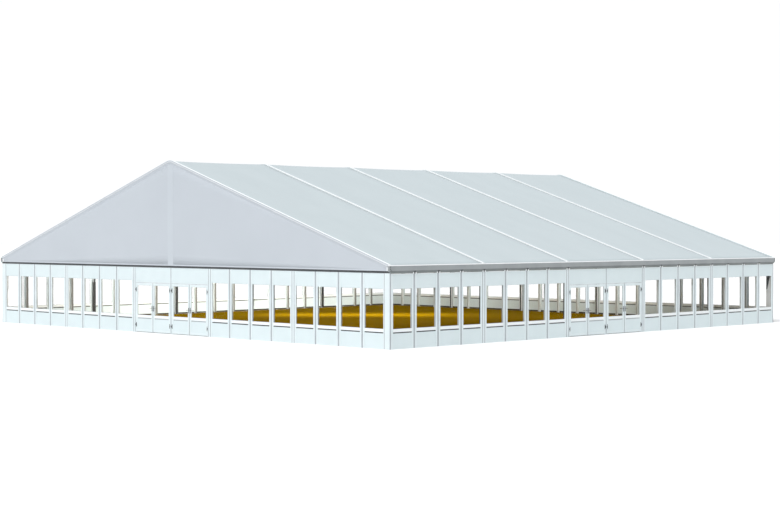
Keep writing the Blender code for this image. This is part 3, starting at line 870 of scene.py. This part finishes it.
FRAME_KINDS = {
    "white": ("profiles", "white", "wall_panel"),
    "board": ("boards", "board", "wall_panel"),
    "grey": ("trim", "grey", "frame_aluminium"),
    "hinges": ("fixed_hinges", "white", "dark_metal"),
}
LEAF_KINDS = {
    "white": ("profiles", "white", "wall_panel"),
    "sill": ("sill", "sill", "wall_panel"),
    "board": ("board", "board", "wall_panel"),
    "grey": ("trim", "grey", "frame_aluminium"),
    "seal": ("seals", "seal", "dark_metal"),
    "glass": ("pane", "glass", "window_glass"),
    "dark": ("hardware", "dark", "dark_metal"),
}


def hinge_lines():
    """Each leaf's hinge axis, and the way that the leaf lies from it."""
    outer = DOOR_HALF - JAMB - LEAF_EDGE / 2
    inner = MID_HALF + LEAF_EDGE / 2
    return ((-outer, 1), (-inner, -1), (inner, 1), (outer, -1))


def add_hinge(builder, axis_u, away, plate, knuckle):
    """A plate on the face, a web out to the axis and a round knuckle, by the heights that they span."""
    front, back = HINGE_PLATE_DEPTHS
    left, right = sorted(axis_u + away * u for u in HINGE_PLATE)
    add_bar(builder, (left, front, plate[0]), (right, back, plate[1]), FINE)
    left, right = sorted(axis_u + away * u for u in HINGE_WEB)
    add_bar(builder, (left, -HINGE_WEB_OUT, knuckle[0]), (right, 0.0, knuckle[1]), FINE)
    add_tube(builder, [(axis_u, -HINGE_OUT, z) for z in knuckle], KNUCKLE_RADIUS)


def door_frame(side):
    """The fixed part of an entrance: jambs, mid post, head bars, a grey line of painted shadow over the
    leaves, boards over the doors, and threshold.
    """
    top = SIDES[side].top
    parts = builders(FRAME_KINDS)
    white, board, grey = parts["white"], parts["board"], parts["grey"]
    opening, joint = DOOR_HALF - JAMB, DOOR_HALF - POST_JOINT
    doors_wide, full = (MID_HALF, opening), (0.0, top)
    over_doors = (HEAD_BAR_TOP + GAP, top - TOP_RAIL - GAP)
    for signs in ((1, 1), (-1, 1)):
        mirrored_bar(white, signs, (opening, joint), (0.0, SKIN), full)
        mirrored_bar(grey, signs, (joint, DOOR_HALF), (GAP, SKIN), full, FINE)
        mirrored_bar(white, signs, (MID_LINE, MID_HALF), (0.0, SKIN), full)
        mirrored_bar(white, signs, doors_wide, (GAP, SKIN), (HEAD_SHADOW_TOP, HEAD_BAR_TOP))
        # A grey line of painted shadow over the leaves, under the head bar.
        mirrored_bar(grey, signs, doors_wide, (HEAD_SHADOW_RECESS, SKIN), (DOOR_HEAD, HEAD_SHADOW_TOP), FINE)
        mirrored_bar(white, signs, doors_wide, (GAP, SKIN), (top - TOP_RAIL, top))
        mirrored_bar(board, signs, doors_wide, (RECESS, HEAD_BOARD_BACK), over_doors, FINE)
        mirrored_bar(grey, signs, doors_wide, (0.0, SKIN), (0.0, THRESHOLD), SMALL)
    add_bar(grey, (-MID_LINE, MULLION_RECESS, 0.0), (MID_LINE, MID_LINE_BACK, top), SMALL)
    for axis_u, away in hinge_lines():
        for level in HINGE_LEVELS:
            for turn in (-1, 1):
                heights = sorted(level + turn * z for z in FIXED_KNUCKLE)
                add_hinge(parts["hinges"], axis_u, -away, heights, heights)
    made = add_pieces(f"{side}_door_", parts, FRAME_KINDS, matrix=wall_matrix(side))
    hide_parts(f"{side}_door_frame")


def add_lever(builder, u, toward, face, out):
    """A long plate, a key ring and a bent lever handle on one face; out is the way it stands off."""
    left, right = about(u, HANDLE_PLATE_HALF)
    near, far = sorted((face, face + out * HANDLE_PLATE_THICK))
    foot, head = span(HANDLE_LEVEL, HANDLE_PLATE)
    add_bar(builder, (left, near, foot), (right, far, head), SMALL)
    path = [(u + toward * run, face + out * off, HANDLE_LEVEL + rise) for run, off, rise in LEVER_BENDS]
    add_tube(builder, path, LEVER_RADIUS)
    for rise, off, radius in (LEVER_RING, KEY_RING):
        z = HANDLE_LEVEL + rise
        add_tube(builder, [(u, face, z), (u, face + out * off, z)], radius, sides=18)


def door_leaf(side, number, axis_u, away):
    """One leaf from its hinge to its meeting edge, with its window, board, hinges and two handles."""
    body = f"{side}_door_{number}"
    width = (DOOR_HALF - JAMB - MID_HALF - LEAF_MEET) / 2 - LEAF_EDGE
    near = axis_u + away * LEAF_EDGE / 2
    far = near + away * width
    left, right = sorted((near, far))
    low, high = LEAF_LOW, DOOR_HEAD - LEAF_EDGE
    start, end = left + LEAF_STILE, right - LEAF_STILE
    back = LEAF_THICK - GAP
    parts = builders(LEAF_KINDS)
    for a, b in ((left, start), (end, right)):
        add_bar(parts["white"], (a, 0.0, low), (b, LEAF_THICK, high))
    for a, b in ((low, low + LEAF_STILE), (high - LEAF_STILE, high)):
        add_bar(parts["white"], (start, GAP, a), (end, back, b))
    add_bar(parts["sill"], (start, GAP, SILL_LOW), (end, back, SILL))
    # A grey line of painted shadow under the leaf's sill.
    shadow_low = SILL_LOW - SHADOW_LINE
    line_front, line_back = LEAF_LINE_DEPTHS
    add_bar(parts["grey"], (start, line_front, shadow_low), (end, line_back, SILL_LOW), FINE)
    strip_left, strip_right = sorted((far - away * MEETING_STRIP, far))
    foot, head = low + MEETING_INSET, high - MEETING_INSET
    add_bar(parts["grey"], (strip_left, -GAP, foot), (strip_right, MEETING_BACK, head), FINE)
    add_bar(parts["board"], (start, RECESS, low + LEAF_STILE), (end, LEAF_BOARD_BACK, shadow_low), FINE)
    add_pane(parts, start, end, SILL, high - LEAF_STILE, LEAF_PANE)
    for level in HINGE_LEVELS:
        add_hinge(parts["dark"], axis_u, away, about(level, PLATE_HALF), about(level, KNUCKLE_HALF))
    handle_u = far - away * LEAF_STILE / 2
    add_lever(parts["dark"], handle_u, -away, 0.0, -1)
    add_lever(parts["dark"], handle_u, -away, LEAF_THICK, 1)
    made = add_pieces(f"{body}_", parts, LEAF_KINDS, body, wall_matrix(side))
    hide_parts(f"{side}_door_leaf_{number}")


def doors():
    """Both entrances, each with four leaves."""
    for side in ("front", "right"):
        door_frame(side)
        for number, (axis_u, away) in enumerate(hinge_lines(), start=1):
            door_leaf(side, number, axis_u, away)


# Trim outside the walls and on the structure

EAVE_KINDS = {
    "beads": ("fascia_beads", "fascia", "fascia_aluminium"),
    "apron": ("fascia_aprons", "fascia_dark", "fascia_aluminium"),
    "edge": ("eave_edges", "bright", "frame_aluminium"),
    "ends": ("fascia_ends", "fascia_dark", "fascia_aluminium"),
    "bolts": ("fascia_bolts", "dark", "dark_metal"),
    "tabs": ("panel_clips", "bright", "wall_panel"),
    "notches": ("panel_clip_gaps", "line", "dark_metal"),
}


def apron_point(sign, y, z, proud):
    """A point by its height on the fascia's slanted lower face, and how far it stands out from it."""
    lean = (FASCIA_OUT - FASCIA_LIP) / (FASCIA_BEND - FASCIA_LOW)
    return (sign * (FASCIA_LIP + (z - FASCIA_LOW) * lean + proud), y, z)


def add_clip(parts, sign, u):
    """A near-black patch of painted shade for the gap over a panel joint, and the two light tabs beside it.
    """
    low, high = about(u, CLIP_HALF)
    outline = ((low, SIDE_TOP), (high, SIDE_TOP), (high, CLIP_TOP), (low, CLIP_TOP))
    # The gap's darkness is painted shade on the fascia's apron.
    add_prism(parts["notches"], outline, *CLIP_STANDOFF, partial(apron_point, sign))
    for turn in (1, -1):
        across, along = span(HALF_WIDTH, TAB_STANDOFF), [u + turn * y for y in TAB]
        mirrored_bar(parts["tabs"], (sign, 1), across, along, (SIDE_TOP, SIDE_TOP + TAB_HEIGHT))


def add_fascia(parts, sign, end):
    """Two bead lines, the light upper edge and the slanted apron of one fascia, made dark as painted shade.
    """
    for level in BEAD_LEVELS:
        across, along = span(FASCIA_OUT, BEAD_STANDOFF), about(0.0, end - BEAD_INSET)
        mirrored_bar(parts["beads"], (sign, 1), across, along, (level, level + BEAD), FINE)
    mirrored_bar(parts["edge"], (sign, 1), (EAVE_EDGE_IN, EAVE_EDGE_OUT), (-end, end), EAVE_EDGE, SOFT)
    # The apron takes the dark fascia finish as painted shade on its downward face.
    high, low = end - APRON_SETBACK, end - APRON_CUT
    outline = ((-high, FASCIA_BEND), (-low, FASCIA_LOW), (low, FASCIA_LOW), (high, FASCIA_BEND))
    add_prism(parts["apron"], outline, 0.0, APRON_THICK, partial(apron_point, sign))


def add_fascia_end(parts, sign, turn, end):
    """The plate and three bolts at one end of a fascia."""
    across, along = span(FASCIA_OUT, END_PLATE_STANDOFF), [end - y for y in END_PLATE]
    mirrored_bar(parts["ends"], (sign, turn), across, along, END_PLATE_HEIGHTS, FINE)
    for inset, level in FASCIA_BOLTS:
        y = turn * (end - inset)
        path = [(sign * x, y, level) for x in (FASCIA_OUT, FASCIA_OUT + FASCIA_BOLT_HEAD)]
        add_tube(parts["bolts"], path, FASCIA_BOLT_RADIUS, sides=12)


def eave_trim():
    """The fascias' trim, and a clip over each panel joint except inside an entrance."""
    parts = builders(EAVE_KINDS)
    end = HALF_LENGTH + FASCIA_OVER
    for sign in (1, -1):
        add_fascia(parts, sign, end)
        for turn in (1, -1):
            add_fascia_end(parts, sign, turn, end)
        for i in range(1, PANELS):
            u = i * PANEL - HALF_LENGTH
            if sign < 0 or abs(u) > DOOR_HALF:
                add_clip(parts, sign, u)
    add_pieces("", parts, EAVE_KINDS)


def gable_trim():
    """Brackets at the gable corners, and the dark line of painted shadow under the hem from corner to
    corner.
    """
    brackets, bolts, lines = bmesh.new(), bmesh.new(), bmesh.new()
    reach = about(0.0, GABLE_LINE_REACH)
    line = (HEM_FOOT - GABLE_LINE, HEM_FOOT - GAP)
    width, depth = span(HALF_WIDTH, BRACKET_WIDTH), span(HALF_LENGTH, BRACKET_STANDOFF)
    bolt_x, bolt_z = BRACKET_BOLT
    for sy in (1, -1):
        # A near-black line of painted shadow under each gable hem.
        mirrored_bar(lines, (1, sy), reach, about(HALF_LENGTH, GABLE_LINE_HALF), line, FINE)
        for sx in (1, -1):
            mirrored_bar(brackets, (sx, sy), width, depth, BRACKET_HEIGHTS, SOFT)
            path = [(sx * bolt_x, sy * y, bolt_z) for y in (depth[1], depth[1] + BRACKET_BOLT_HEAD)]
            add_tube(bolts, path, BRACKET_BOLT_RADIUS, sides=10)
    piece("gable_brackets", brackets, "bright")
    piece("gable_bracket_bolts", bolts, "dark")
    piece("gable_lines", lines, "line")


def roof_strip(builder, edges, top, bottoms):
    """A strip over the roof by its two edges on Y, its top's depth and its underside's at each edge."""
    low, high = edges
    rings = []
    for x in roof_stations(HALF_WIDTH + EAVE_LAP, steps=12, ridge_steps=8):
        corners = ((low, bottoms[0]), (high, bottoms[1]), (high, top), (low, top))
        rings.append([builder.verts.new((x, y, roof_height(x, depth))) for y, depth in corners])
    join_rings(builder, rings)


ROOF_KINDS = {
    "caps": ("rail_caps", "bright", "frame_aluminium"),
    # The laps are roof cloth in the lighter white finish, painted light against the shade that the slope
    # casts on them.
    "laps": ("verge_laps", "white", "roof_fabric"),
    "edging": ("verge_edging", "edging", "roof_fabric"),
}


def rail_trim():
    """White caps on the keder rails, and the cloth wrapped over each verge and back under it."""
    parts = builders(ROOF_KINDS)
    for line in INNER_LINES:
        roof_strip(parts["caps"], about(line, CAP_HALF), CAP_TOP, (CAP_BOTTOM, CAP_BOTTOM))
    for sign in (1, -1):
        for kind, (edges, top, bottoms) in VERGE_STRIPS.items():
            roof_strip(parts[kind], [sign * y for y in span(HALF_LENGTH, edges)], top, bottoms)
    add_pieces("", parts, ROOF_KINDS)


COLUMN_KINDS = {
    "column_shade": ("column_painted_shade", "black", "dark_metal"),
    "uprights": ("upright_painted_shade", "dark", "dark_metal"),
    "upper_shade": ("upper_column_painted_shade", "dark", "dark_metal"),
    "bolts": ("foot_bolts", "steel", "dark_metal"),
}


def add_column(parts, sign, line):
    """A side column's dark strip of painted shade down its inner face, a block of painted shade above it
    and its two foot bolts.
    """
    # A dark strip of painted shade down the column's inner face, and a block of painted shade higher up.
    across, up = span(COLUMN_IN, COLUMN_SHADE_DEPTHS), (SHADE_STRIP_LOW, UPPER_SHADE_HEIGHTS[0] - GAP)
    mirrored_bar(parts["column_shade"], (sign, 1), across, about(line, COLUMN_SHADE_HALF), up, SMALL)
    across = span(COLUMN_IN, UPPER_SHADE_DEPTHS)
    mirrored_bar(parts["upper_shade"], (sign, 1), across, about(line, UPPER_SHADE_HALF), UPPER_SHADE_HEIGHTS)
    out, along = FOOT_BOLT
    for y in about(line, along):
        path = [(sign * (COLUMN_IN + out), y, z) for z in (FOOT_BOLT_LOW, FLOOR_TOP)]
        add_tube(parts["bolts"], path, FOOT_BOLT_RADIUS, sides=6)


def corner_shade_point(sx, sy, out, z, y):
    """A point by its distance out from the end column's inner face, its height and its place on Y."""
    return (sx * (END_COLUMN_IN + out), sy * y, z)


def column_trim():
    """The columns' trim, dark strips of painted shade inside the uprights, and dark wedges of painted
    shadow on the end columns in the four corners.
    """
    parts = builders(COLUMN_KINDS)
    for line in INNER_LINES:
        for sign in (1, -1):
            add_column(parts, sign, line)
            # A dark strip of painted shade inside each gable upright.
            across, along = about(line, UPRIGHT_SHADE_HALF), span(UPRIGHT_IN, UPRIGHT_SHADE_DEPTHS)
            up = (SHADE_STRIP_LOW, UPRIGHT_SHADE_TOP)
            mirrored_bar(parts["uprights"], (1, sign), across, along, up, SMALL)
    # Dark wedges of painted shadow on the end columns' inner faces in the four corners.
    for signs in product((1, -1), repeat=2):
        point = partial(corner_shade_point, *signs)
        add_prism(parts["upper_shade"], CORNER_SHADE_OUTLINE, CORNER_SHADE_BACK - CORNER_SHADE_THICK, CORNER_SHADE_BACK - GAP, point)
    add_pieces("", parts, COLUMN_KINDS)


def dress_cad():
    """Procedural finishes for the CAD nodes that stay."""
    finishes = {"floor": "boards"}
    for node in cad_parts:
        if node.startswith("portal_frame") or "purlin" in node or "upright" in node:
            finishes[node] = "frame"
        # The gable beams take the near-black finish as painted shade in the recess under the hem.
        elif "gable_beam" in node:
            finishes[node] = "beam"
        elif "eave_fascia" in node:
            finishes[node] = "fascia"
    for node, finish in finishes.items():
        for slot in bpy.data.objects[node].material_slots:
            slot.material = MATERIALS[finish]


# Stage

# Soft lamps in the hall: place, direction, size, watts, spread and turn in degrees, and colour
LAMPS = {
    "hall": ((0.0, 0.0, 5.2), (0.0, 0.0, -1.0), (3.0, 18.0), 95.0, 170.0, 0.0, WARM),
    "left_wall": ((10.8, -0.5, 2.0), (-1.0, 0.0, 0.0), (21.0, 0.6), 760.0, 36.0, 0.0, WARM),
    "back_wall": ((0.0, -10.6, 2.0), (0.0, 1.0, 0.0), (21.0, 0.6), 200.0, 50.0, 0.0, WARMER),
    "left_posts": ((-8.0, -11.2, 2.0), (-0.19, 1.0, 0.0), (4.0, 0.6), 110.0, 60.0, 0.0, WARM),
    "back_posts": ((11.2, 8.0, 2.0), (-1.0, 0.19, 0.0), (4.0, 0.6), 110.0, 60.0, 0.0, WARM),
    "pool": ((-5.4, 3.4, 3.0), (0.0, 0.0, -1.0), (9.0, 0.4), 150.0, 100.0, 45.0, WARM),
}


def stage_floor():
    """The pale ground that the tent stands on."""
    builder = bmesh.new()
    bmesh.ops.create_circle(builder, cap_ends=True, segments=64, radius=GROUND_RADIUS)
    mesh = bpy.data.meshes.new("stage_floor")
    builder.to_mesh(mesh)
    builder.free()
    made, nodes, links, shader = node_tree("stage_floor")
    tone = noise(nodes, links, 0.05, 2.0)
    colour = blend_colours(nodes, links, tone, (0.94, 0.94, 0.94), (0.96, 0.96, 0.96))
    links.new(colour, shader.inputs["Base Color"])
    shader.inputs["Roughness"].default_value = 0.9
    shader.inputs["Specular IOR Level"].default_value = 0.0
    mesh.materials.append(made)
    ground = bpy.data.objects.new("stage_floor", mesh)
    ground.location.z = -GROUND_DROP
    bpy.context.collection.objects.link(ground)


def soft_box(name, place, toward, size, power, spread_angle, turn, colour):
    """A soft lamp inside the hall that the camera doesn't see."""
    lamp = bpy.data.lights.new(name, "AREA")
    lamp.shape = "RECTANGLE"
    lamp.size, lamp.size_y = size
    lamp.energy = power
    lamp.color = colour
    lamp.spread = math.radians(spread_angle)
    box = bpy.data.objects.new(name, lamp)
    box.location = place
    facing = Vector(toward).to_track_quat("-Z", "Y").to_matrix()
    box.rotation_euler = (facing @ Matrix.Rotation(math.radians(turn), 3, "Z")).to_euler()
    box.visible_camera = False
    bpy.context.collection.objects.link(box)


def lights():
    """A pale sky that is a little brighter as a backdrop, a soft key light and the hall's lamps."""
    world = bpy.data.worlds.new("studio")
    bpy.context.scene.world = world
    world.use_nodes = True
    nodes = world.node_tree.nodes
    links = world.node_tree.links
    background = nodes["Background"]
    background.inputs["Color"].default_value = (0.985, 0.99, 1.0, 1.0)
    paths = nodes.new("ShaderNodeLightPath")
    strength = nodes.new("ShaderNodeMapRange")
    strength.inputs["To Min"].default_value = WORLD_LIGHT
    strength.inputs["To Max"].default_value = WORLD_BACKDROP
    links.new(paths.outputs["Is Camera Ray"], strength.inputs["Value"])
    links.new(strength.outputs["Result"], background.inputs["Strength"])
    sun = bpy.data.lights.new("key", "SUN")
    sun.energy = SUN_STRENGTH
    sun.angle = SUN_ANGLE
    key = bpy.data.objects.new("key", sun)
    key.rotation_euler = Vector(SUN_TOWARD).to_track_quat("Z", "Y").to_euler()
    bpy.context.collection.objects.link(key)
    for name, values in LAMPS.items():
        soft_box(name, *values)


def camera():
    """The photograph's view of the corner between front and right side."""
    made = bpy.data.cameras.new("camera")
    made.sensor_width = 36.0
    made.lens = CAMERA_LENS
    made.clip_end = 1000.0
    view = bpy.data.objects.new("camera", made)
    view.location = CAMERA_PLACE
    view.rotation_euler = (math.pi / 2 - CAMERA_DOWN, 0.0, CAMERA_TURN)
    bpy.context.collection.objects.link(view)
    bpy.context.scene.camera = view


bpy.context.scene.view_settings.view_transform = "Standard"
dress_cad()
for number in range(1, BAYS + 1):
    roof_cover(number)
for front in (True, False):
    gable_cloth(front)
walls()
corner_posts()
doors()
eave_trim()
gable_trim()
rail_trim()
column_trim()
stage_floor()
lights()
camera()
